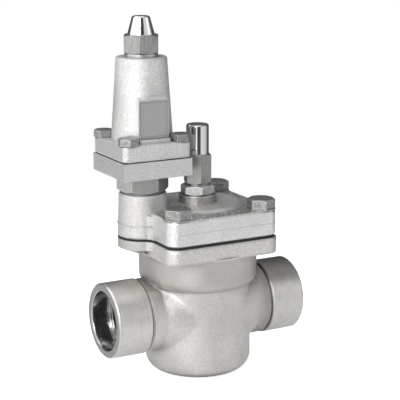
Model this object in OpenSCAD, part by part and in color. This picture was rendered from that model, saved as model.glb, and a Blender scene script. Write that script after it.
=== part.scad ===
// Pilot operated pressure regulating valve with socket welded ends.
// A cast body holds an insert with a servo piston and a throttle cone; a square
// cover closes it and carries a manual spindle and a screwed-in pilot valve.
// Millimetres, Z up. The base stands on Z = 0 and the stem axis is X = Y = 0.

/* [Connections] */
// Height of the pipe axis above the base
axis_z = 47; // [44:0.5:56]
// Outside radius of each welding end
end_r = 27.5; // [26:0.1:30]
// Half of the face to face length
end_x = 76.7; // [72:0.1:90]
// Socket radius for a pipe of 42.4 outside diameter
socket_r = 21.4; // [21.3:0.05:21.6]
// Socket depth
socket_depth = 14.5; // [12:0.5:16]
// Flow passage radius
port_r = 17; // [15:0.5:17.5]

/* [Body] */
// Radius of the lower drum
drum_r = 39; // [38:0.1:40]
// Edge radius at the foot of the drum
foot_r = 10.5; // [6:0.5:13]
// Height of the round pad that the drum stands on
foot_h = 1.8; // [1:0.1:2]
// Radius of the neck under the flange
neck_r = 43.5; // [42:0.1:44.5]
// Height of the neck's rounded lower rim
neck_z = 68; // [66:0.1:70]
// How far the square flange stands out past the cover
flange_lip = 0.6; // [0.2:0.1:2]
// Underside of the flange
flange_z = 93.2; // [90:0.1:94]
// Flange thickness, up to its joint face
flange_t = 11.4; // [11:0.1:14]
// Corner radius of flange and cover
corner_r = 9; // [8:0.5:12]

/* [Cover] */
// Gasket thickness
gasket_t = 1.6; // [0.8:0.1:2]
// Half width of the cover
cover_w = 43.8; // [42:0.1:44]
// Cover plate thickness
cover_t = 18.9; // [16:0.1:20]
// Pilot boss position along X
pilot_x = -41.35; // [-42:0.05:-40]
// Pilot boss position along Y
pilot_y = 6.5; // [4:0.1:8]
// Pilot boss radius at the joint face
boss_r = 18.5; // [18:0.1:19]
// Height of the pilot boss above the gasket
boss_h = 31.3; // [29:0.1:33]
// Distance of each bolt's axis from the cover's side
bolt_edge = 10; // [9:0.1:11]
// Cover bolt radius, M12
bolt_r = 6; // [5:0.5:6]

/* [Servo] */
// Piston bore radius
bore_r = 24; // [22:0.5:25]
// Stroke from closed to fully open
stroke = 8; // [4:0.5:8]
// Seat bore radius
seat_r = 13.5; // [12:0.5:14]
// Piston rod radius in its guide
rod_r = 4.5; // [4:0.1:5]

/* [Pilot] */
// Half width of the square pilot
pilot_w = 26.45; // [26:0.05:27]
// Height of the hexagon and its washer, from the boss to the square block
neck_h = 14.1; // [13:0.1:16]
// Thickness of the square block
block_t = 12.5; // [11.5:0.1:14]
// Diaphragm thickness
dia_t = 0.6; // [0.4:0.1:0.8]
// Thickness of the bonnet's square flange
bonnet_t = 11.5; // [10:0.1:13]
// Screw position from the pilot axis
screw_p = 20.4; // [20:0.1:20.6]
// Bonnet cone radius at its foot
cone_r0 = 22.1; // [21.8:0.1:22.3]
// Bonnet cone radius at its top
cone_r1 = 18.2; // [18:0.1:19]
// Height of the cone above the bonnet's flange
cone_h = 58.5; // [56:0.1:62]
// Travel of the range spring's upper follower
set_travel = 10; // [4:1:10]

/* [Hidden] */
$fn = 72;
fit = 0.05;
joint_z = flange_z + flange_t;
flange_w = cover_w + flange_lip;
bolt_p = cover_w - bolt_edge;
cover_z = joint_z + gasket_t;
boss_z = cover_z + boss_h;
block_z = boss_z + neck_h;
dia_z = block_z + block_t;
bonnet_z = dia_z + dia_t;
screw_z = bonnet_z + bonnet_t;
cone_z = screw_z + cone_h;
top_z = cover_z + cover_t;
dome_z = top_z + 2.2;
stem_z = dome_z + 5.8;
gland_z = stem_z + 7;
chamber_r = 33;
floor_z = axis_z - 38;
sill_z = axis_z - 4;
shelf_z = axis_z + 4;
land_r = 29.5;
rim_r = 34;
ledge_z = joint_z - 7.4;
insert_z = joint_z - 0.5;
belt_z = joint_z - 21.7;
sky_z = joint_z - 35.7;
seat_z = axis_z - 3.5;
piston_top = joint_z - 7.7;
piston_z = piston_top - 12;
bore_z = piston_z - stroke - 2;
nip_r = 12;
port_z = boss_z - 19;
tip_z = cover_z - 3.8;
tail_z = cone_z - 8.7;
follow_z = tail_z - 12;
pad_y = 18.8;
pad_w = 12;
pad_z = screw_z + 2.6;
supply = [1.45, -8.4];
cast = [0.74, 0.73, 0.70];
bright = [0.80, 0.81, 0.82];
steel = [0.66, 0.67, 0.68];
chrome = [0.86, 0.87, 0.88];
black = [0.12, 0.12, 0.13];
brass = [0.80, 0.66, 0.38];
white = [0.92, 0.92, 0.90];

// Shared shapes
module rod(r, z0, z1) {
  translate([0, 0, z0]) cylinder(r = r, h = z1 - z0);
}
module taper(r0, r1, z0, z1) {
  translate([0, 0, z0]) cylinder(r1 = r0, r2 = r1, h = z1 - z0);
}
module ring(ro, ri, z0, z1) {
  difference() {
    rod(ro, z0, z1);
    rod(ri, z0 - 1, z1 + 1);
  }
}
module o_ring(r, t, z) {
  translate([0, 0, z]) rotate_extrude() translate([r, 0]) circle(t);
}
module four(p) {
  for (x = [-1, 1], y = [-1, 1]) translate([x * p, y * p, 0]) children();
}
module at_pilot() {
  translate([pilot_x, pilot_y, 0]) children();
}
// Hexagon with turned chamfers: c0 at the lower end, c1 at the upper
module hex(af, z0, z1, turn, c0, c1) {
  r = af / 2 / cos(30);
  e = af / 2 * 0.97;
  d = (r + 1 - e) * 0.6;
  intersection() {
    rotate(turn) translate([0, 0, z0]) cylinder(r = r, h = z1 - z0, $fn = 6);
    rotate_extrude() polygon([[0, z0], [c0 ? e : r + 1, z0], [r + 1, z0 + (c0 ? d : 0)],
      [r + 1, z1 - (c1 ? d : 0)], [c1 ? e : r + 1, z1], [0, z1]]);
  }
}
module square_2d(w, r) {
  square([2 * w, 2 * (w - r)], center = true);
  square([2 * (w - r), 2 * w], center = true);
  for (x = [-1, 1], y = [-1, 1]) translate([x * (w - r), y * (w - r)]) circle(r);
}
// Square plate with rounded corners, a chamfer c below and a rounded edge e above
module plate(w, r, z0, z1, c, e) {
  h = z1 - z0;
  for (x = [-1, 1], y = [-1, 1]) translate([x * (w - r), y * (w - r), z0]) rotate_extrude() {
    polygon([[0, 0], [r - c, 0], [r, c], [r, h - e], [0, h - e]]);
    square([r - e, h]);
    translate([r - e, h - e]) circle(e);
  }
  for (a = [0, 90]) rotate(a) translate([0, 0, z0]) rotate([90, 0, 0])
    linear_extrude(2 * (w - r), center = true) {
      polygon([[c - w, 0], [w - c, 0], [w, c], [w, h - e], [-w, h - e], [-w, c]]);
      translate([-w + e, 0]) square([2 * (w - e), h]);
      for (s = [-1, 1]) translate([s * (w - e), h - e]) circle(e);
    }
}
// Web that blends a round lobe of radius r into the flange side at X = -w
module lobe_2d(w, r) {
  f = 8;
  d = r + f - 0.15;
  cx = -w - f + 0.15;
  dy = sqrt(d * d - pow(cx - pilot_x, 2));
  k = (r - 0.3) / d;
  translate([pilot_x, pilot_y]) circle(r);
  for (s = [-1, 1]) difference() {
    polygon([[-w + 5, pilot_y + s * 3], [-w + 5, pilot_y + s * dy], [cx, pilot_y + s * dy],
      [pilot_x + (cx - pilot_x) * k, pilot_y + s * dy * k], [pilot_x - 1, pilot_y + s * 3]]);
    translate([cx, pilot_y + s * dy]) circle(f);
  }
}
// Round wire helix between two levels, with flat ends: the polygon is the slice
// that a level plane cuts from the wire, swept up by the twist
module coil(r, w, z0, z1, turns) {
  pitch = (z1 - z0) / turns;
  a = w / pitch * 360;
  n = 9;
  function reach(t) = sqrt(max(0, w * w - pow(t / 360 * pitch, 2)));
  function point(t, q) = [q * cos(t), q * sin(t)];
  function side(s, i) = let (t = -a + 2 * a * i / n) point(t, r + s * reach(t));
  translate([0, 0, z0])
    linear_extrude(z1 - z0, twist = -360 * turns, slices = ceil(turns * 20), segments = 1)
      polygon(concat([for (i = [0:n]) side(1, i)], [for (i = [n - 1:-1:1]) side(-1, i)]));
}

// Body
module welding_end() {
  rotate([0, 90, 0]) {
    rod(end_r - 2, 0, 50);
    rotate_extrude() polygon([[0, 38], [end_r - 1.9, 38], [end_r - 0.7, 40.2], [end_r - 0.7, 48],
      [end_r - 1.6, 48.6], [end_r - 1.6, 49.4], [end_r, 50.6], [end_r, end_x - 1.2],
      [end_r - 1.2, end_x], [0, end_x]]);
  }
  intersection() {
    rotate([0, 90, 0]) taper(drum_r - 1.2, end_r - 1.7, 9, 41);
    translate([0, -50, -24]) cube([60, 100, 50]);
  }
}
module body_outside() {
  rotate_extrude() {
    polygon([[0, 0], [19, 0], [20.6, foot_h + 0.1], [0, foot_h + 0.1]]);
    translate([0, foot_h]) square([drum_r - foot_r, 75 - foot_h]);
    translate([0, foot_h + foot_r]) square([drum_r, 75 - foot_h - foot_r]);
    translate([drum_r - foot_r, foot_h + foot_r]) circle(foot_r);
  }
  rotate_extrude() {
    translate([0, neck_z]) square([neck_r - 7, flange_z - neck_z]);
    translate([0, neck_z + 7]) square([neck_r, flange_z - neck_z - 7]);
    translate([neck_r - 7, neck_z + 7]) circle(7);
  }
  taper(neck_r - 1, neck_r + 2, flange_z - 4.5, flange_z + 1);
  translate([0, 0, flange_z]) linear_extrude(joint_z - flange_z) square_2d(flange_w, corner_r);
  translate([0, 0, joint_z - 6.7]) linear_extrude(6.7) lobe_2d(flange_w, boss_r);
  at_pilot() taper(2.2, boss_r, joint_z - 13.7, joint_z - 6.7);
  translate([0, 0, axis_z]) {
    welding_end();
    mirror([1, 0, 0]) welding_end();
  }
}
module valve_body() {
  color(cast) difference() {
    body_outside();
    translate([0, 0, axis_z]) rotate([0, 90, 0]) {
      rod(port_r, -end_x + 5, -30);
      rod(port_r, chamber_r + 4, end_x - 5);
      rod(socket_r, -end_x - 1, -end_x + socket_depth);
      rod(socket_r, end_x - socket_depth, end_x + 1);
      taper(socket_r + 1.8, socket_r, -end_x - 1, -end_x + 0.8);
      taper(socket_r, socket_r + 1.8, end_x - 0.8, end_x + 1);
    }
    intersection() {
      translate([0, 0, axis_z]) rotate([0, 90, 0]) rod(port_r, 10, chamber_r + 6);
      translate([0, -30, 0]) cube([60, 60, sill_z]);
    }
    rod(26, floor_z, sill_z);
    rod(19.8, sill_z - 1, shelf_z + 1);
    rod(chamber_r, shelf_z, belt_z);
    rod(land_r, belt_z - 1, ledge_z + 1);
    rod(rim_r, ledge_z, joint_z + 1);
    four(bolt_p) rod(bolt_r, flange_z + 1, joint_z + 1);
    translate([pilot_x + supply[0], pilot_y + supply[1], 0]) rod(1.5, belt_z - 6, joint_z + 1);
    translate([0, 0, belt_z - 3.5])
      rotate(atan2(pilot_y + supply[1], pilot_x + supply[0])) rotate([0, 90, 0]) rod(1.3, 30, 39.2);
  }
}

// Cover and its fastening
module cover() {
  color(bright) difference() {
    union() {
      plate(cover_w, corner_r, cover_z, top_z, 1, 2.4);
      translate([0, 0, cover_z]) linear_extrude(cover_t - 2) lobe_2d(cover_w, boss_r - 0.8);
      at_pilot() taper(boss_r - 1, boss_r, cover_z, cover_z + 1.01);
      at_pilot() taper(boss_r, boss_r - 1.2, cover_z + 1, boss_z - 1);
      at_pilot() taper(boss_r - 1.2, boss_r - 2, boss_z - 1.2, boss_z);
      taper(33.4, 30.2, top_z - 0.1, dome_z);
      rod(13.8, dome_z - 0.5, stem_z);
      rod(rim_r - 0.3, insert_z, cover_z + 0.5);
    }
    rod(28, insert_z - 1, cover_z + 1);
    rod(bore_r + 0.6, cover_z, cover_z + 5);
    rod(5, cover_z + 4, cover_z + 13.5);
    rod(8, cover_z + 13, stem_z + 1);
    four(bolt_p) rod(bolt_r + 0.5, cover_z - 1, top_z + 1);
    at_pilot() {
      rod(nip_r, port_z - 0.5, boss_z + 1);
      rod(5.05, cover_z + 1.6, port_z);
      translate([supply[0], supply[1], 0]) rod(1.5, cover_z - 1, port_z);
      translate([0, 0, cover_z + 3.4]) rotate(atan2(-pilot_y, -pilot_x)) rotate([0, 90, 0]) rod(1.6, 0, 20);
    }
  }
}
module cover_gasket() {
  color(black) difference() {
    translate([0, 0, joint_z]) {
      linear_extrude(gasket_t) square_2d(cover_w - 1.1, corner_r - 0.5);
      linear_extrude(gasket_t) lobe_2d(cover_w - 1.1, boss_r - 1.4);
    }
    rod(rim_r + 0.3, joint_z - 1, cover_z + 1);
    four(bolt_p) rod(bolt_r + 0.2, joint_z - 1, cover_z + 1);
    translate([pilot_x + supply[0], pilot_y + supply[1], 0]) rod(1.6, joint_z - 1, cover_z + 1);
  }
}
module cover_bolt(turn) {
  hex(18, top_z, top_z + 7.5, turn, false, true);
  rod(bolt_r - fit, flange_z + 1.5, top_z + 1);
}
module cover_bolts() {
  color(steel) {
    translate([-bolt_p, -bolt_p, 0]) cover_bolt(8);
    translate([bolt_p, -bolt_p, 0]) cover_bolt(20);
    translate([bolt_p, bolt_p, 0]) cover_bolt(40);
    translate([-bolt_p, bolt_p, 0]) cover_bolt(44.5);
  }
}

// Insert with the piston cylinder above and the seat below
module valve_insert() {
  color(steel) difference() {
    union() {
      rod(19.5, seat_z + 0.8, shelf_z + 1);
      rod(27, shelf_z, belt_z);
      rod(land_r - 0.3, belt_z - 0.5, ledge_z + 1);
      rod(rim_r - 0.3, ledge_z, insert_z);
      ring(seat_r + 1.7, seat_r, seat_z, seat_z + 1.5);
    }
    rod(seat_r, seat_z - 1, shelf_z + 1);
    taper(seat_r, bore_r, shelf_z, shelf_z + 4);
    rod(bore_r, shelf_z + 3.9, sky_z);
    rod(bore_r, bore_z, insert_z + 1);
    rod(rod_r + fit, sky_z - 5, bore_z + 4);
    for (a = [0, 90]) rotate(a) translate([-40, -13, shelf_z + 4])
      cube([80, 26, sky_z - shelf_z - 4]);
    for (a = [45, 225]) rotate(a) translate([16, 0, 0]) rod(1.5, sky_z - 5, bore_z + 4);
    ring(land_r + 1, 27.05, belt_z + 4, belt_z + 7);
    ring(20.5, 17.7, axis_z - 1, axis_z + 1.6);
  }
}
module insert_o_ring_upper() {
  color(black) o_ring(28.26, 1.18, belt_z + 5.5);
}
module insert_o_ring_lower() {
  color(black) o_ring(18.75, 1, axis_z + 0.3);
}

// Servo piston, rod and throttle cone
module servo_piston() {
  color(steel) difference() {
    rod(bore_r - fit, piston_z, piston_top);
    rod(4 + 0.03, piston_z - 1, piston_top);
    rod(8, piston_z + 6, piston_top + 1);
    ring(bore_r - 5, 9, piston_z - 1, piston_z + 3);
    ring(bore_r + 1, bore_r - 1.8, piston_z + 4, piston_z + 7);
  }
}
module piston_ring() {
  color(black) difference() {
    ring(bore_r - 0.02, bore_r - 1.76, piston_z + 4.05, piston_z + 6.95);
    rotate(200) translate([bore_r - 4, -0.5, piston_z + 3]) cube([6, 1, 5]);
  }
}
module piston_rod() {
  color(steel) {
    rod(4, seat_z - 16.5, piston_top - 0.2);
    rod(rod_r, seat_z + 10.5, piston_z);
    rod(6.5, piston_z - 1.5, piston_z);
  }
}
module rod_nuts() {
  color(steel) difference() {
    union() {
      hex(13, piston_z + 6, piston_top - 0.5, 12, false, true);
      hex(13, seat_z - 15, seat_z - 9.5, 12, true, false);
    }
    rod(4 + 0.03, seat_z - 20, piston_top + 1);
  }
}
module throttle_cone() {
  color(steel) difference() {
    union() {
      rod(seat_r + 4, seat_z - 9.5, seat_z - 0.9);
      taper(seat_r - 0.4, seat_r - 5.5, seat_z - 1.5, seat_z + 10.5);
    }
    rod(4 + 0.03, seat_z - 12, seat_z + 12);
    ring(seat_r + 3.1, seat_r - 1.1, seat_z - 4.3, seat_z + 1);
  }
}
module seat_disc() {
  color(white) ring(seat_r + 3, seat_r - 1, seat_z - 4.3, seat_z);
}
module closing_spring() {
  color(steel) coil(11, 1.3, floor_z, seat_z - 9.5, 4.5);
}

// Manual spindle with packing, gland and seal cap
module spindle_packing() {
  color(black) ring(7.95, 4.85, cover_z + 13.5, stem_z - 7.1);
}
module gland_nut() {
  color(steel) difference() {
    union() {
      rod(8 - fit, stem_z - 7.1, stem_z + 0.5);
      hex(22, stem_z, gland_z, 18, true, true);
      rod(7.4, gland_z - 0.5, gland_z + 8.8);
    }
    rod(5, stem_z - 8, gland_z + 10);
  }
}
module manual_spindle() {
  color(steel) difference() {
    union() {
      taper(4, 5 - fit, tip_z, tip_z + 1);
      rod(5 - fit, tip_z + 1, cover_z + 10);
      rod(4.8, cover_z + 9, gland_z + 11.9);
      translate([-3.2, -3.2, gland_z + 10.9]) cube([6.4, 6.4, 21]);
    }
    ring(6, 3.83, stem_z - 2.1, stem_z + 0.5);
  }
}
module spindle_o_ring() {
  color(black) o_ring(4.4, 0.56, stem_z - 0.8);
}
module spindle_cap_gasket() {
  color(steel) ring(8.9, 7.45, gland_z, gland_z + 1);
}
module spindle_cap() {
  z = gland_z + 1;
  color(chrome) difference() {
    union() {
      hex(18, z, z + 21.5, 16, true, true);
      rod(8.2, z + 18.9, z + 42.3);
      taper(8.2, 7.5, z + 42.3, z + 43.1);
    }
    rod(7.45, z - 1, gland_z + 9.2);
    rod(5.6, gland_z + 9, z + 34.9);
  }
}

// Pilot body with its seat, screwed into the cover boss
module pilot_body() {
  color(bright) at_pilot() difference() {
    union() {
      rod(5, port_z - 2, port_z + 3.5);
      rod(nip_r - fit, port_z + 2.5, boss_z + 2);
      hex(32.4, boss_z + 1.1, block_z + 0.5, 40.5, true, false);
      translate([-pilot_w, -pilot_w, block_z]) cube([2 * pilot_w, 2 * pilot_w, dia_z - block_z]);
    }
    rod(2.5, port_z - 3, dia_z - 5.1);
    rod(5.05, dia_z - 6.1, dia_z + 1);
    rod(16, dia_z - 1.3, dia_z + 1);
    translate([supply[0], supply[1], 0]) rod(1.5, port_z + 1.5, dia_z);
    four(screw_p) rod(4, block_z + 1.4, dia_z + 1);
    ring(6, 4, port_z - 1.1, port_z + 0.3);
  }
}
module pilot_washer() {
  color(steel) at_pilot() ring(15.2, nip_r + 0.1, boss_z, boss_z + 1.1);
}
module port_o_ring() {
  color(black) at_pilot() o_ring(4.53, 0.49, port_z - 0.4);
}
module pilot_seat() {
  color(brass) at_pilot() difference() {
    union() {
      rod(5, dia_z - 6.1, dia_z - 1.3);
      rod(2.6, dia_z - 2, dia_z - 0.3);
    }
    rod(1.4, dia_z - 7.1, dia_z);
  }
}
module diaphragm() {
  color(steel) at_pilot() rod(24.2, dia_z, bonnet_z);
}
module pressure_plate() {
  color(brass) at_pilot() {
    rod(14.5, bonnet_z, bonnet_z + 2.8);
    taper(8.4, 7.4, bonnet_z + 2.7, bonnet_z + 5.8);
  }
}
module range_spring() {
  color(steel) at_pilot() coil(10.2, 1.5, bonnet_z + 2.8, follow_z, 7.5);
}
module spring_follower() {
  color(brass) at_pilot() difference() {
    union() {
      rod(15.2, follow_z, follow_z + 5);
      rod(8.4, follow_z - 5, follow_z + 1);
      translate([-16.3, -2, follow_z]) cube([32.6, 4, 5]);
    }
    rod(4 + fit, follow_z - 6, follow_z + 6);
  }
}
module setting_spindle() {
  color(steel) at_pilot() difference() {
    union() {
      rod(4, follow_z - set_travel - 12, cone_z + 14.3);
      rod(7, tail_z - 3.5, tail_z - 0.3);
      translate([-2.6, -2.6, cone_z + 13.3]) cube([5.2, 5.2, 8]);
    }
    ring(5, 3, cone_z - 5.7, cone_z - 3.3);
  }
}
module setting_o_ring() {
  color(black) at_pilot() o_ring(3.53, 0.49, cone_z - 4.5);
}

// Bonnet over the range spring
module pilot_bonnet() {
  color(bright) at_pilot() difference() {
    union() {
      plate(pilot_w, 4.5, bonnet_z, screw_z, 0.5, 1.4);
      taper(cone_r0, cone_r1, screw_z - 0.2, cone_z - 0.8);
      taper(cone_r1, cone_r1 - 0.8, cone_z - 0.8, cone_z);
      rod(8.45, cone_z - 1, cone_z + 11.3);
      translate([pad_w, 0, 0]) rotate([90, 0, -90]) linear_extrude(2 * pad_w)
        polygon([[0, screw_z - 0.2], [pad_y + 2.6, screw_z - 0.2], [pad_y + 2.6, pad_z], [pad_y, pad_z],
          [pad_y, pad_z + 27.6], [pad_y - 3, pad_z + 30.6], [0, pad_z + 30.6]]);
    }
    translate([-pad_w, -pad_y - 5, pad_z]) cube([2 * pad_w, 5, 31]);
    rod(17.5, bonnet_z - 1, screw_z - 4.2);
    taper(17.5, 15.5, screw_z - 4.21, screw_z - 1.2);
    rod(15.5, screw_z - 2.2, tail_z);
    translate([-16.6, -2.3, follow_z - set_travel - 4])
      cube([33.2, 4.6, tail_z - follow_z + set_travel + 4]);
    rod(4 + fit, tail_z - 6, cone_z + 12);
    four(screw_p) rod(4.4, bonnet_z - 1, screw_z + 0.8);
  }
}
module bonnet_screw(turn) {
  hex(13, screw_z, screw_z + 5.2, turn, false, true);
  rod(4 - fit, block_z + 2, screw_z + 0.8);
}
module bonnet_screws() {
  color(steel) at_pilot() {
    translate([screw_p, screw_p, 0]) bonnet_screw(15);
    translate([-screw_p, -screw_p, 0]) bonnet_screw(15);
    translate([-screw_p, screw_p, 0]) bonnet_screw(45);
    translate([screw_p, -screw_p, 0]) bonnet_screw(45);
  }
}
module label_plate() {
  color(white) at_pilot() translate([0.8 - pad_w, -pad_y - 0.4, pad_z + 0.8])
    cube([2 * pad_w - 1.6, 0.4, 26]);
}
module pilot_cap_gasket() {
  color(steel) at_pilot() ring(11.8, 8.5, cone_z, cone_z + 2.3);
}
module pilot_cap() {
  z = cone_z + 2.3;
  color(chrome) at_pilot() difference() {
    union() {
      hex(23.6, z, z + 13.3, 1.5, true, true);
      taper(9.7, 6.4, z + 13.2, z + 25.2);
      taper(6.4, 5.6, z + 25.2, z + 26);
    }
    rod(8.5, z - 1, z + 10.6);
    rod(4.6, z + 10, z + 20.6);
  }
}

valve_body();
cover();
cover_gasket();
cover_bolts();
valve_insert();
insert_o_ring_upper();
insert_o_ring_lower();
servo_piston();
piston_ring();
piston_rod();
rod_nuts();
throttle_cone();
seat_disc();
closing_spring();
spindle_packing();
gland_nut();
manual_spindle();
spindle_o_ring();
spindle_cap_gasket();
spindle_cap();
pilot_body();
pilot_washer();
port_o_ring();
pilot_seat();
diaphragm();
pressure_plate();
range_spring();
spring_follower();
setting_spindle();
setting_o_ring();
pilot_bonnet();
bonnet_screws();
label_plate();
pilot_cap_gasket();
pilot_cap();
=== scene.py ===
"""Looks of the pressure regulating valve: metal finishes, cast details, light and camera."""

from math import atan2, cos, degrees, radians, sin, sqrt

import bmesh
import bpy
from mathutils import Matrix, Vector


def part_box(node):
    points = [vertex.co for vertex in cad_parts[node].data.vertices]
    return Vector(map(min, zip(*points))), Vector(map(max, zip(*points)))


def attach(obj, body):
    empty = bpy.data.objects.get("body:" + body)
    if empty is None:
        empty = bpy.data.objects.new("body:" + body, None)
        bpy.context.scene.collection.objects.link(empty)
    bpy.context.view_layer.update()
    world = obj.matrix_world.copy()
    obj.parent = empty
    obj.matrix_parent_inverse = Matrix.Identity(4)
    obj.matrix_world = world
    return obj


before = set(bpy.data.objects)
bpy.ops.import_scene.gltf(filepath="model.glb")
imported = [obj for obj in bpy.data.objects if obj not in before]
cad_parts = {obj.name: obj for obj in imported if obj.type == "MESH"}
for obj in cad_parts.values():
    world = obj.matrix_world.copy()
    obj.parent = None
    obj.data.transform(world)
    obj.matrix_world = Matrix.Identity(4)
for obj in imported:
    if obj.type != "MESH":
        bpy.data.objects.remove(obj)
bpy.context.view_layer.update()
MM = 0.001

# Places on the solids that the finishes and details go by, in millimetres
PIPE_Z = 47
NECK_START = 68
FLANGE_START = 93.2
END_START = 49.5
END_FACE = 76.7
END_TOP = 74.5
SOCKET_R = 21.4
COVER_HALF = 43.8
COVER_CORNER = 9
COVER_TOP = 125.1
COVER_FILLET = 8
DOME_TOP = 127.3
SEAM_HEIGHT = 115.3
BLOCK_SEAT = 151.6
BONNET_SEAT = 176.2
BOLT_HALF = 33.8
PILOT_X = -41.35
PILOT_Y = 6.5
BOSS_R = 18.5
SPINDLE_HEXAGON_TOP = 163.0
PILOT_HEXAGON_TOP = 250.2

# Sizes of the details, in millimetres
PAD_R = 10.6
PAD_HEIGHT = 0.5
RIDGE_R = 0.32
RIDGE_DEPTH = 0.12

# Samples of the shader nodes that feel for edges and corners
EDGE_SAMPLES = 6


class Signal:
    """A node's output, with arithmetic that adds Math nodes."""

    def __init__(self, finish, socket):
        self.finish = finish
        self.socket = socket

    def math(self, operation, *values):
        return self.finish.node("ShaderNodeMath", {"operation": operation}, *values)

    def __add__(self, other):
        return self.math("ADD", self, other)

    __radd__ = __add__

    def __sub__(self, other):
        return self.math("SUBTRACT", self, other)

    def __rsub__(self, other):
        return self.math("SUBTRACT", other, self)

    def __mul__(self, other):
        return self.math("MULTIPLY", self, other)

    __rmul__ = __mul__

    def __abs__(self):
        return self.math("ABSOLUTE", self)

    def larger(self, other):
        return self.math("MAXIMUM", self, other)

    def rise(self, low, high):
        """0 below low, 1 above high and a soft step between."""
        values = {"Value": self, "From Min": low, "From Max": high}
        return self.finish.node(
            "ShaderNodeMapRange", {"interpolation_type": "SMOOTHSTEP"}, **values
        )


class Finish:
    """One procedural material, built round a Principled shader."""

    def __init__(self, name, **constants):
        self.material = bpy.data.materials.new(name)
        self.material.use_nodes = True
        self.tree = self.material.node_tree
        self.shader = self.tree.nodes["Principled BSDF"]
        self.place = self.node("ShaderNodeTexCoord", output="Object")
        for socket, value in constants.items():
            self.shader.inputs[socket.replace("_", " ")].default_value = value

    def node(self, kind, settings=None, *values, output=0, **named):
        made = self.tree.nodes.new(kind)
        for key, value in (settings or {}).items():
            setattr(made, key, value)
        for key, value in [*enumerate(values), *named.items()]:
            self.feed(made.inputs[key], value)
        return Signal(self, made.outputs[output])

    def feed(self, socket, value):
        if isinstance(value, Signal):
            self.tree.links.new(value.socket, socket)
        else:
            socket.default_value = value

    def axes(self):
        """The three object coordinates, in millimetres."""
        parts = self.node("ShaderNodeSeparateXYZ", None, self.place).socket.node
        return [Signal(self, out) * 1000 for out in parts.outputs]

    def grain(self, size_mm, detail=2.0, stretch=(1, 1, 1), shift=0.0):
        """Noise whose lumps are size_mm across, drawn out along an axis by a stretch below 1."""
        scaled = self.node(
            "ShaderNodeMapping",
            None,
            Vector=self.place,
            Location=(shift, shift, shift),
            Scale=stretch,
        )
        return self.node(
            "ShaderNodeTexNoise", None, Vector=scaled, Scale=1000 / size_mm, Detail=detail
        )

    def mix(self, data_type, output, sockets, values):
        """A Mix node of one data type, fed through its own numbered sockets."""
        mixed = self.node("ShaderNodeMix", {"data_type": data_type}, output=output)
        for socket, value in zip(sockets, values, strict=True):
            self.feed(mixed.socket.node.inputs[socket], value)
        return mixed

    def blend(self, amount, first, second):
        """A colour between two, by amount."""
        return self.mix("RGBA", 2, (0, 6, 7), (amount, first, second))

    def between(self, amount, first, second):
        """A direction between two, by amount."""
        return self.mix("VECTOR", 1, (0, 4, 5), (amount, first, second))

    def relief(self, height, depth_mm, under=None):
        """A bump of the given depth, over another one or over softened edges."""
        named = {"Height": height, "Distance": depth_mm * MM}
        if under:
            named["Normal"] = under
        return self.node("ShaderNodeBump", None, **named)

    def soft_edges(self, radius_mm):
        """The surface's direction with every edge rounded by the given radius."""
        return self.node("ShaderNodeBevel", {"samples": EDGE_SAMPLES}, Radius=radius_mm * MM)

    def on_edges(self, radius_mm, tone, polish, amount=0.8):
        """A tone that brightens the edges: rubbed edges, and a painted highlight along them."""
        plain = self.node("ShaderNodeNewGeometry", output="Normal")
        rounded = self.soft_edges(radius_mm)
        product = {"operation": "DOT_PRODUCT"}
        same = self.node("ShaderNodeVectorMath", product, rounded, plain, output=1)
        return self.blend((1 - same.rise(0.86, 0.99)) * amount, tone, polish)

    def shade_in_crevices(self, reach_mm, tone, shade_tone, amount=0.8):
        """A tone that darkens near inner corners: painted shade where little light reaches."""
        samples = {"samples": EDGE_SAMPLES}
        opened = self.node(
            "ShaderNodeAmbientOcclusion", samples, output=1, Distance=reach_mm * MM
        )
        return self.blend((1 - opened.rise(0.35, 0.85)) * amount, tone, shade_tone)

    def wear(self, colour, roughness, normal):
        """Connects what varies over the surface."""
        for name, value in (("Base Color", colour), ("Roughness", roughness), ("Normal", normal)):
            self.feed(self.shader.inputs[name], value)
        return self.material


def grey(level, warmth=0.0):
    """A grey, warmed by raising red and lowering blue."""
    return (level + warmth, level, level - warmth * 1.6, 1)


def half_width(node):
    """Half of a solid's width along X, in millimetres."""
    low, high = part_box(node)
    return (high.x - low.x) / 2 / MM


def square(value):
    return value * value


# Metal finishes


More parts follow.
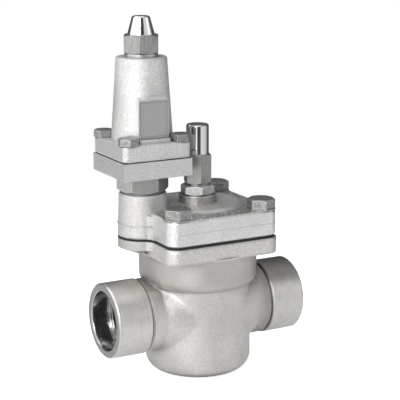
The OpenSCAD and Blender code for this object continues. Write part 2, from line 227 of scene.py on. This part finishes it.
def cast_body_steel():
    """Satin cast steel, with turned welding ends and machined faces."""
    f = Finish("cast_body_steel", Metallic=1.0)
    x, y, z = f.axes()
    off_axis = square(y) + square(z - PIPE_Z)
    bore = 1 - off_axis.rise(square(SOCKET_R + 0.5), square(SOCKET_R + 1.0))
    below_flange = 1 - z.rise(END_TOP + 3.5, END_TOP + 5.5)
    turned = abs(x).rise(END_START, END_START + 0.6) * below_flange
    face = abs(x).rise(END_FACE - 0.5, END_FACE - 0.2)
    sand = f.grain(1.1, 4)
    ripple = f.grain(6, 2, shift=3)
    clouds = f.grain(24, 3, shift=7)
    lathe = f.grain(0.7, 2, stretch=(1, 0.02, 0.02))
    tone = f.blend(clouds.rise(0.3, 0.7), grey(0.58, 0.012), grey(0.68, 0.010))
    # Painted shade under the flange, darkening the neck
    neck = z.rise(NECK_START, NECK_START + 1) * (1 - z.rise(FLANGE_START - 1, FLANGE_START))
    tone = f.blend(neck * 0.45, tone, grey(0.40, 0.012))
    # Painted shade on the flange's lobe towards -X
    lobe = z.rise(FLANGE_START - 1, FLANGE_START) * (0 - x).rise(44, 50)
    tone = f.blend(lobe * 0.6, tone, grey(0.46, 0.010))
    # Painted light: the rest of the flange is lighter than the casting below it
    flange = z.rise(FLANGE_START - 1, FLANGE_START) * (1 - lobe)
    tone = f.blend(flange * 0.4, tone, grey(0.86, 0.010))
    # Painted shade on the neck under the lobe, towards -X
    tone = f.blend(neck * (0 - x).rise(20, 42) * 0.4, tone, grey(0.24, 0.010))
    # Painted shade on the outlet side, between the drum and the outlet end
    tone = f.blend(x.rise(34, 46) * 0.75, tone, grey(0.24, 0.012))
    tone = f.blend(sand.rise(0.35, 0.65) * 0.45, tone, grey(0.44, 0.012))
    bright = f.blend(lathe.rise(0.3, 0.7), grey(0.59, 0.010), grey(0.65, 0.008))
    scale = f.grain(5, 4, shift=11)
    bright = f.blend(scale.rise(0.45, 0.75) * 0.5, bright, grey(0.50, 0.016))
    # Painted shade on the top of the outlet end, under the flange
    outlet_top_shade = x.rise(30, 50) * z.rise(PIPE_Z + 10, PIPE_Z + 25)
    bright = f.blend(outlet_top_shade * 0.75, bright, grey(0.24, 0.014))
    # Painted highlight on the top of the inlet end
    inlet_top_highlight = (0 - x).rise(40, 55) * z.rise(PIPE_Z + 12, PIPE_Z + 25)
    bright = f.blend(inlet_top_highlight * 0.7, bright, grey(0.92, 0.020))
    edges = f.between(abs(x).rise(40, 47), f.soft_edges(5.0), f.soft_edges(0.8))
    skin = f.relief(ripple, 0.25, edges)
    skin = f.relief(sand * (1 - turned), 0.26, skin)
    skin = f.relief(lathe * turned, 0.02, skin)
    rough = (0.41 + 0.12 * clouds) * (1 - turned) + (0.34 + 0.10 * lathe) * turned + 0.16 * face
    rough = rough * (1 - bore * turned) + 0.20 * bore * turned
    bright = f.blend(face * 0.9, bright, grey(0.31, 0.004))
    # Painted shade in the inner corners of the turned ends
    bright = f.shade_in_crevices(2.5, bright, grey(0.16, 0.010))
    # Painted shade in the groove behind each welding end
    groove_shade = (1 - abs(abs(x) - END_START).rise(0.35, 0.6)) * below_flange
    # Painted shade in the inner corners of the casting
    colour = f.blend(turned, f.shade_in_crevices(9, tone, grey(0.20, 0.010)), bright)
    colour = f.blend(groove_shade * 0.85, colour, grey(0.07, 0.004))
    return f.wear(f.blend(bore, colour, grey(0.50)), rough, skin)


def cast_bright_steel(name, dark, light, edge_mm):
    """A brighter blasted casting: its grain and its two layers of relief."""
    f = Finish(name, Metallic=1.0)
    sand = f.grain(1.0, 4)
    ripple = f.grain(5, 2, shift=5)
    clouds = f.grain(18, 3, shift=2)
    tone = f.blend(clouds.rise(0.3, 0.7), grey(dark, 0.004), grey(light, 0.002))
    tone = f.blend(sand.rise(0.35, 0.65) * 0.5, tone, grey(dark * 0.68, 0.004))
    skin = f.relief(ripple, 0.20, f.soft_edges(edge_mm))
    return f, tone, clouds, f.relief(sand, 0.30, skin)


def cast_cover_steel():
    """The cover: bright sides, a duller pilot boss, and a rough top with painted shade and
    painted glints.
    """
    f, tone, clouds, skin = cast_bright_steel("cast_cover_steel", 0.76, 0.86, 1.4)
    x, y, z = f.axes()
    off_pilot = square(x - PILOT_X) + square(y - PILOT_Y)
    boss = 1 - off_pilot.rise(square(BOSS_R + 1.5), square(BOSS_R + 3.4))
    above = z.rise(COVER_TOP - 0.6, COVER_TOP - 0.1) * (1 - boss)
    dome = above * z.rise(COVER_TOP + 0.2, COVER_TOP + 0.5)
    collar = dome * z.rise(DOME_TOP + 0.1, DOME_TOP + 0.3)
    top = above - 0.9 * dome
    tone = f.blend(dome * clouds.rise(0.35, 0.65) * 0.7, tone, grey(0.52, 0.006))
    # Grain for the top's cast crust: its bumps, and painted glints as bright specks
    crust_and_glints = f.grain(1.8, 3, shift=9)
    tone = f.blend(boss * 0.8, tone, grey(0.62, 0.008))
    # Painted shade: the top is darker than the sides
    tone = f.blend(top * 0.8, tone, grey(0.36, 0.008))
    # Painted glints: bright specks on the top
    tone = f.blend(top * crust_and_glints.rise(0.54, 0.64) * 0.9, tone, grey(0.90, 0.002))
    tone = f.blend(collar * 0.9, tone, grey(0.38, 0.008))
    tone = f.blend(boss * f.grain(1.0, 4).rise(0.4, 0.65) * 0.35, tone, grey(0.40, 0.006))
    # Rubbed edges, with a painted highlight along them
    tone = f.on_edges(1.0, tone, grey(0.95))
    rough = 0.33 + 0.14 * clouds + 0.20 * boss + 0.08 * top + 0.17 * (dome - collar)
    skin = f.relief(crust_and_glints.rise(0.4, 0.7) * (top - 0.4 * collar), 0.45, skin)
    # Painted shade in the inner corners
    return f.wear(f.shade_in_crevices(3, tone, grey(0.24, 0.006)), rough, skin)


def cast_bonnet_steel():
    """The pilot's bonnet, with painted shade on the two sides of its flange, which are also
    rougher.
    """
    f, tone, clouds, skin = cast_bright_steel("cast_bonnet_steel", 0.68, 0.81, 3.0)
    x, _, z = f.axes()
    half = half_width("pilot_bonnet")
    side = abs(x - PILOT_X).rise(half - 0.3, half - 0.1)
    flange = 1 - z.rise(BONNET_SEAT - 1, BONNET_SEAT)
    # Painted shade on the two sides of the flange
    tone = f.blend(flange * side * 0.8, tone, grey(0.52, 0.002))
    # Rubbed edges, with a painted highlight along them
    tone = f.on_edges(0.8, tone, grey(0.93))
    rough = 0.55 + 0.14 * clouds + 0.08 * side
    # Painted shade in the inner corners
    return f.wear(f.shade_in_crevices(3, tone, grey(0.24, 0.006)), rough, skin)


def milled_steel():
    """The pilot's block, milled with fine level marks."""
    f = Finish("milled_steel", Metallic=1.0)
    x, _, z = f.axes()
    half = half_width("pilot_body")
    sawn = abs(x - PILOT_X).rise(half - 0.1, half - 0.02)
    hexagon = 1 - z.rise(BLOCK_SEAT - 0.1, BLOCK_SEAT)
    marks = f.grain(0.4, 3, stretch=(0.10, 0.10, 1))
    pits = f.grain(0.8, 4, shift=6)
    clouds = f.grain(14, 2)
    tone = f.blend(marks.rise(0.3, 0.7), grey(0.56, 0.002), grey(0.72, 0.0))
    tone = f.blend(sawn * pits.rise(0.35, 0.65) * 0.5, tone, grey(0.40, 0.002))
    # Painted shade on the hexagon under the block
    tone = f.blend(hexagon * 0.5, tone, grey(0.42, 0.010))
    # Rubbed edges, with a painted highlight along them
    tone = f.on_edges(0.6, tone, grey(0.85))
    # Painted shade in the inner corners
    tone = f.shade_in_crevices(2, tone, grey(0.22, 0.004))
    skin = f.relief(marks, 0.03, f.soft_edges(0.4))
    skin = f.relief(pits * sawn, 0.20, skin)
    rough = 0.28 + 0.14 * clouds + 0.08 * marks + 0.18 * sawn - 0.05 * hexagon
    return f.wear(tone, rough, skin)


def plated_steel(name, low, high):
    """Bolts, screws and nuts: dull zinc plate over forged hexagons."""
    f = Finish(name, Metallic=1.0)
    mottle = f.grain(2.2, 4)
    fine = f.grain(0.4, 2, shift=4)
    tone = f.blend(mottle.rise(0.3, 0.7), grey(low, 0.004), grey(high, 0.003))
    # Rubbed edges, with a painted highlight along them
    tone = f.on_edges(0.6, tone, grey(0.76))
    # Painted shade in the inner corners
    tone = f.shade_in_crevices(1.5, tone, grey(0.12, 0.004))
    skin = f.relief(mottle, 0.06, f.soft_edges(0.5))
    return f.wear(tone, 0.40 + 0.16 * mottle + 0.05 * fine, f.relief(fine, 0.02, skin))


def turned_cap(name, polished_from):
    """A cap with a satin hexagon below the given height and polish above it."""
    f = Finish(name, Metallic=1.0)
    z = f.axes()[2]
    polish = z.rise(polished_from - 0.3, polished_from + 0.3)
    rings = f.grain(0.3, 2, stretch=(0.02, 0.02, 1))
    drawn = f.grain(0.8, 3, stretch=(1, 1, 0.08))
    satin = f.blend(drawn.rise(0.3, 0.7), grey(0.28, 0.006), grey(0.42, 0.004))
    tone = f.blend(polish, satin, grey(0.80, 0.0))
    rough = (0.34 + 0.12 * drawn) * (1 - polish) + (0.09 + 0.05 * rings) * polish
    return f.wear(tone, rough, f.relief(rings, 0.001, f.soft_edges(0.35)))


def turned_steel():
    """Inner steel parts, turned round the stem axis."""
    f = Finish("turned_steel", Metallic=1.0)
    rings = f.grain(0.5, 2, stretch=(0.03, 0.03, 1))
    tone = f.blend(rings, grey(0.50, 0.002), grey(0.66, 0.0))
    return f.wear(tone, 0.26 + 0.16 * rings, f.relief(rings, 0.03, f.soft_edges(0.3)))


def yellow_brass():
    """Brass of the pilot's seat, plate and follower."""
    f = Finish("yellow_brass", Metallic=1.0)
    rings = f.grain(0.5, 2, stretch=(0.03, 0.03, 1))
    tone = f.blend(rings, (0.56, 0.40, 0.16, 1), (0.76, 0.58, 0.28, 1))
    return f.wear(tone, 0.26 + 0.14 * rings, f.relief(rings, 0.03))


def soft_aluminium():
    """Pressed sealing washers."""
    f = Finish("soft_aluminium", Metallic=1.0)
    mottle = f.grain(1.5, 3)
    # Painted shade in the washers' inner corners
    tone = f.shade_in_crevices(2.5, f.blend(mottle, grey(0.50), grey(0.66)), grey(0.10))
    return f.wear(tone, 0.30 + 0.20 * mottle, f.relief(mottle, 0.04))


def spring_wire():
    """Dark drawn wire."""
    f = Finish("spring_wire", Metallic=1.0)
    mottle = f.grain(1.2, 3)
    tone = f.blend(mottle, grey(0.22), grey(0.34))
    return f.wear(tone, 0.34 + 0.14 * mottle, f.relief(mottle, 0.02))


def dull_rubber(name, level, size_mm):
    """Black rubber or pressed fibre."""
    f = Finish(name, Metallic=0.0)
    mottle = f.grain(size_mm, 3)
    tone = f.blend(mottle, grey(level), grey(level * 2.2))
    return f.wear(tone, 0.62 + 0.2 * mottle, f.relief(mottle, 0.05))


def white_fluoropolymer():
    """The waxy white of the seat disc and the piston ring."""
    f = Finish("white_fluoropolymer", Metallic=0.0)
    mottle = f.grain(2, 3)
    tone = f.blend(mottle, grey(0.78, 0.01), grey(0.88, 0.01))
    return f.wear(tone, 0.36 + 0.15 * mottle, f.relief(mottle, 0.03))


def label_foil():
    """Brushed foil with a fine dark frame line and nothing written on it."""
    f = Finish("label_foil", Metallic=0.85)
    x, _, z = f.axes()
    brushed = f.grain(0.3, 3, stretch=(1, 1, 0.05))
    low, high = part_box("label_plate")
    centre = (low + high) / 2 / MM
    half = (high - low) / 2 / MM
    across = abs(x - centre.x) - (half.x - 1.1)
    upright = abs(z - centre.z) - (half.z - 1.1)
    line = 1 - abs(across.larger(upright)).rise(0.08, 0.24)
    tone = f.blend(brushed, grey(0.36, 0.002), grey(0.48, 0.0))
    tone = f.blend(line * 0.75, tone, grey(0.12))
    return f.wear(tone, 0.36 + 0.16 * brushed, f.relief(brushed, 0.02))


FINISH_OF_NODE = {}


def finish_nodes():
    """Gives every solid its finish."""
    plated = plated_steel("plated_steel", 0.26, 0.42)
    turned = turned_steel()
    rubber = dull_rubber("seal_rubber", 0.018, 1.2)
    fibre = dull_rubber("gasket_fibre", 0.010, 0.5)
    brass = yellow_brass()
    washer = soft_aluminium()
    wire = spring_wire()
    polymer = white_fluoropolymer()
    FINISH_OF_NODE.update(
        valve_body=cast_body_steel(),
        cover=cast_cover_steel(),
        pilot_bonnet=cast_bonnet_steel(),
        # A lighter copy of the plated steel: painted light on the gland nut
        gland_nut=plated_steel("plated_steel_painted_light", 0.50, 0.66),
        pilot_body=milled_steel(),
        spindle_cap=turned_cap("turned_spindle_cap", SPINDLE_HEXAGON_TOP),
        pilot_cap=turned_cap("turned_pilot_cap", PILOT_HEXAGON_TOP),
        label_plate=label_foil(),
    )
    shared = {
        plated: ("cover_bolts", "bonnet_screws", "rod_nuts"),
        rubber: (
            "insert_o_ring_upper",
            "insert_o_ring_lower",
            "spindle_o_ring",
            "port_o_ring",
            "setting_o_ring",
        ),
        fibre: ("cover_gasket", "spindle_packing"),
        polymer: ("seat_disc", "piston_ring"),
        brass: ("pilot_seat", "pressure_plate", "spring_follower"),
        washer: ("spindle_cap_gasket", "pilot_cap_gasket", "pilot_washer"),
        wire: ("closing_spring", "range_spring"),
    }
    for material, nodes in shared.items():
        for node in nodes:
            FINISH_OF_NODE[node] = material
    for node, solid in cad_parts.items():
        solid.data.materials.clear()
        solid.data.materials.append(FINISH_OF_NODE.get(node, turned))


# Mesh helpers


def new_piece(name, mesh, material, body):
    """Adds a finished mesh to the scene, riding on a body."""
    piece = bpy.data.objects.new(name, mesh)
    bpy.context.scene.collection.objects.link(piece)
    if not mesh.materials:
        mesh.materials.append(material)
    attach(piece, body)
    return piece


class Tree:
    """A Geometry Nodes tree with named inputs."""

    def __init__(self, name, sizes):
        self.group = bpy.data.node_groups.new(name, "GeometryNodeTree")
        face = self.group.interface
        face.new_socket("Geometry", in_out="INPUT", socket_type="NodeSocketGeometry")
        for label in sizes:
            face.new_socket(label, in_out="INPUT", socket_type="NodeSocketFloat")
        face.new_socket("Geometry", in_out="OUTPUT", socket_type="NodeSocketGeometry")
        self.sizes = sizes
        self.start = self.group.nodes.new("NodeGroupInput")
        self.end = self.group.nodes.new("NodeGroupOutput")

    def add(self, kind, settings=None, **inputs):
        node = self.group.nodes.new(kind)
        for key, value in (settings or {}).items():
            setattr(node, key, value)
        for key, value in inputs.items():
            socket = node.inputs[key.replace("_", " ")]
            if isinstance(value, bpy.types.NodeSocket):
                self.group.links.new(value, socket)
            else:
                socket.default_value = value
        return node.outputs[0] if node.outputs else node

    def size(self, label):
        return self.start.outputs[label]

    def finish(self, geometry, material):
        real = self.add("GeometryNodeRealizeInstances", Geometry=geometry)
        smooth = self.add("GeometryNodeSetShadeSmooth", Geometry=real)
        coated = self.add("GeometryNodeSetMaterial", Geometry=smooth, Material=material)
        self.group.links.new(coated, self.end.inputs[0])

    def run(self, name, source, material, body):
        """Turns the tree's result on a source mesh into one plain piece."""
        carrier = bpy.data.objects.new(name + "_source", source)
        bpy.context.scene.collection.objects.link(carrier)
        modifier = carrier.modifiers.new("tree", "NODES")
        modifier.node_group = self.group
        for item in self.group.interface.items_tree:
            if item.in_out == "INPUT" and item.name in self.sizes:
                modifier[item.identifier] = self.sizes[item.name]
        graph = bpy.context.evaluated_depsgraph_get()
        mesh = bpy.data.meshes.new_from_object(carrier.evaluated_get(graph))
        mesh.name = name
        bpy.data.objects.remove(carrier)
        return new_piece(name, mesh, material, body)


def point_mesh(name, points):
    mesh = bpy.data.meshes.new(name)
    mesh.from_pydata([Vector(p) * MM for p in points], [], [])
    return mesh


def loop_mesh(name, points):
    mesh = bpy.data.meshes.new(name)
    count = len(points)
    edges = [(i, (i + 1) % count) for i in range(count)]
    mesh.from_pydata([Vector(p) * MM for p in points], edges, [])
    return mesh


# Cast and turned details


def spot_faces(name, centres, material):
    """Low turned pads round the bolts."""
    tree = Tree(name, {"Pad radius": PAD_R * MM, "Pad height": PAD_HEIGHT * MM})
    disc = tree.add(
        "GeometryNodeMeshCylinder",
        Vertices=64,
        Radius=tree.size("Pad radius"),
        Depth=tree.size("Pad height"),
    )
    points = tree.add("GeometryNodeMeshToPoints", Mesh=tree.start.outputs[0])
    placed = tree.add("GeometryNodeInstanceOnPoints", Points=points, Instance=disc)
    tree.finish(placed, material)
    piece = tree.run(name, point_mesh(name, centres), material, "valve")
    piece.data.shade_flat()


def cover_outline(z, grow):
    """The cover's side at one height: a square with round corners and the pilot's lobe."""
    half = COVER_HALF + grow
    corner = COVER_CORNER + grow
    lobe = BOSS_R + grow
    fillet = COVER_FILLET - grow
    fx = -half - fillet
    fy = sqrt((lobe + fillet) ** 2 - (fx - PILOT_X) ** 2)

    def arc(cx, cy, r, start, end):
        steps = max(4, int(abs(end - start) / 6))
        turns = [radians(start + (end - start) * i / steps) for i in range(steps + 1)]
        return [(cx + r * cos(t), cy + r * sin(t), z) for t in turns]

    far = half - corner
    tilt = degrees(atan2(fy, fx - PILOT_X))
    path = arc(far, far, corner, 0, 90)
    path += arc(-far, far, corner, 90, 180) if PILOT_Y + fy < far else []
    path += arc(fx, PILOT_Y + fy, fillet, 0, tilt - 180)
    path += arc(PILOT_X, PILOT_Y, lobe, tilt, 360 - tilt)
    path += arc(fx, PILOT_Y - fy, fillet, 180 - tilt, 0)
    path += arc(-far, -far, corner, 180, 270)
    path += arc(far, -far, corner, 270, 360)
    return path


def mould_line(name, path, material):
    """The fine ridge that a mould's joint leaves on a casting."""
    tree = Tree(name, {"Ridge radius": RIDGE_R * MM})
    curve = tree.add("GeometryNodeMeshToCurve", Mesh=tree.start.outputs[0])
    wire = tree.add(
        "GeometryNodeCurvePrimitiveCircle", Resolution=8, Radius=tree.size("Ridge radius")
    )
    swept = tree.add("GeometryNodeCurveToMesh", Curve=curve, Profile_Curve=wire)
    tree.finish(swept, material)
    tree.run(name, loop_mesh(name, path), material, "valve")


def add_details():
    bolts = [(x * BOLT_HALF, y * BOLT_HALF, COVER_TOP) for x in (-1, 1) for y in (-1, 1)]
    spot_faces("cover_spot_faces", bolts, FINISH_OF_NODE["pilot_body"])
    seam = cover_outline(SEAM_HEIGHT, -RIDGE_DEPTH)
    mould_line("cover_mould_line", seam, FINISH_OF_NODE["cover"])


# Studio


MIDDLE = (0, 0, 0.13)


def add_floor():
    """A round white table, wide enough for the valve and its shadow."""
    made = bmesh.new()
    bmesh.ops.create_circle(made, cap_ends=True, segments=96, radius=0.55)
    mesh = bpy.data.meshes.new("studio_floor")
    made.to_mesh(mesh)
    made.free()
    floor = bpy.data.objects.new("studio_floor", mesh)
    bpy.context.scene.collection.objects.link(floor)
    white = {"Base_Color": grey(0.86), "Emission_Color": grey(1.0)}
    paper = Finish("studio_paper", Roughness=0.9, **white)
    seen = paper.node("ShaderNodeLightPath")
    paper.feed(paper.shader.inputs["Emission Strength"], seen * 0.7 + 0.12)
    mesh.materials.append(paper.material)


def add_light(name, place, size, power):
    """A soft box that looks at the valve's middle."""
    lamp = bpy.data.lights.new(name, "AREA")
    lamp.shape = "RECTANGLE"
    lamp.size, lamp.size_y = size
    lamp.energy = power
    holder = bpy.data.objects.new(name, lamp)
    holder.location = place
    aim = Vector(MIDDLE) - Vector(place)
    holder.rotation_euler = aim.to_track_quat("-Z", "Y").to_euler()
    bpy.context.scene.collection.objects.link(holder)


# Brightness of the room round the part, as (part of a turn, level), from the side of -X
ROOM = (
    (0.000, 1.38),
    (0.148, 1.28),
    (0.170, 0.06),
    (0.252, 0.06),
    (0.272, 0.82),
    (0.420, 0.66),
    (0.500, 0.07),
    (0.640, 0.12),
    (0.860, 0.08),
    (0.900, 1.38),
)
# Its ceiling, as (start, end, level) up a height of 1
CEILING = ((0.50, 0.80, 0.30), (0.85, 0.97, 1.20))


def add_studio():
    """A room with white soft boxes in front, darker behind and in the gap between them."""
    world = bpy.data.worlds.new("studio")
    bpy.context.scene.world = world
    world.use_nodes = True
    nodes, links = world.node_tree.nodes, world.node_tree.links

    def add(kind, inputs=(), **settings):
        made = nodes.new(kind)
        for key, value in settings.items():
            setattr(made, key, value)
        for key, value in inputs:
            if isinstance(value, bpy.types.NodeSocket):
                links.new(value, made.inputs[key])
            else:
                made.inputs[key].default_value = value
        return made.outputs

    view = add("ShaderNodeTexCoord")["Generated"]
    turn = add("ShaderNodeTexGradient", [(0, view)], gradient_type="RADIAL")["Fac"]
    ramp = add("ShaderNodeValToRGB", [(0, turn)])["Color"]
    stops = ramp.node.color_ramp.elements
    while len(stops) < len(ROOM):
        stops.new(0.5)
    for stop, (at, level) in zip(stops, ROOM, strict=True):
        stop.position = at
        stop.color = (level, level, level, 1)
    rise = add("ShaderNodeSeparateXYZ", [(0, view)])["Z"]
    room = ramp
    for start, end, level in CEILING:
        limits = [("Value", rise), ("From Min", start), ("From Max", end)]
        above = add("ShaderNodeMapRange", limits, interpolation_type="SMOOTHSTEP")[0]
        ceiling = [(0, above), (6, room), (7, (level, level, level, 1))]
        room = add("ShaderNodeMix", ceiling, data_type="RGBA")[2]
    seen = add("ShaderNodeLightPath")["Is Camera Ray"]
    backdrop = [(0, seen), (6, room), (7, (1.0, 1.0, 1.0, 1))]
    shown = add("ShaderNodeMix", backdrop, data_type="RGBA")[2]
    links.new(shown, nodes["Background"].inputs["Color"])
    add_light("key_soft_box", (-1.105, -1.043, 0.9), (0.47, 0.9), 16)
    add_light("fill_soft_box", (1.3, -1.0, 0.7), (0.8, 1.2), 1.6)
    add_light("top_soft_box", (-0.8, 0.6, 1.4), (1.0, 1.0), 4)


def add_camera():
    """The photograph's viewpoint, worked out from the valve's own proportions."""
    turn, rise = radians(-28.46), radians(13.17)
    back = Vector((sin(turn) * cos(rise), -cos(turn) * cos(rise), sin(rise)))
    lens = bpy.data.cameras.new("camera")
    lens.sensor_width = 36
    lens.lens = 115.58
    lens.clip_start = 0.05
    camera = bpy.data.objects.new("camera", lens)
    camera.location = (-0.4343, -0.8050, 0.3418)
    camera.rotation_euler = (-back).to_track_quat("-Z", "Y").to_euler()
    bpy.context.scene.collection.objects.link(camera)
    bpy.context.scene.camera = camera


finish_nodes()
add_details()
add_floor()
add_studio()
add_camera()
bpy.context.scene.view_settings.view_transform = "Standard"
bpy.context.view_layer.update()
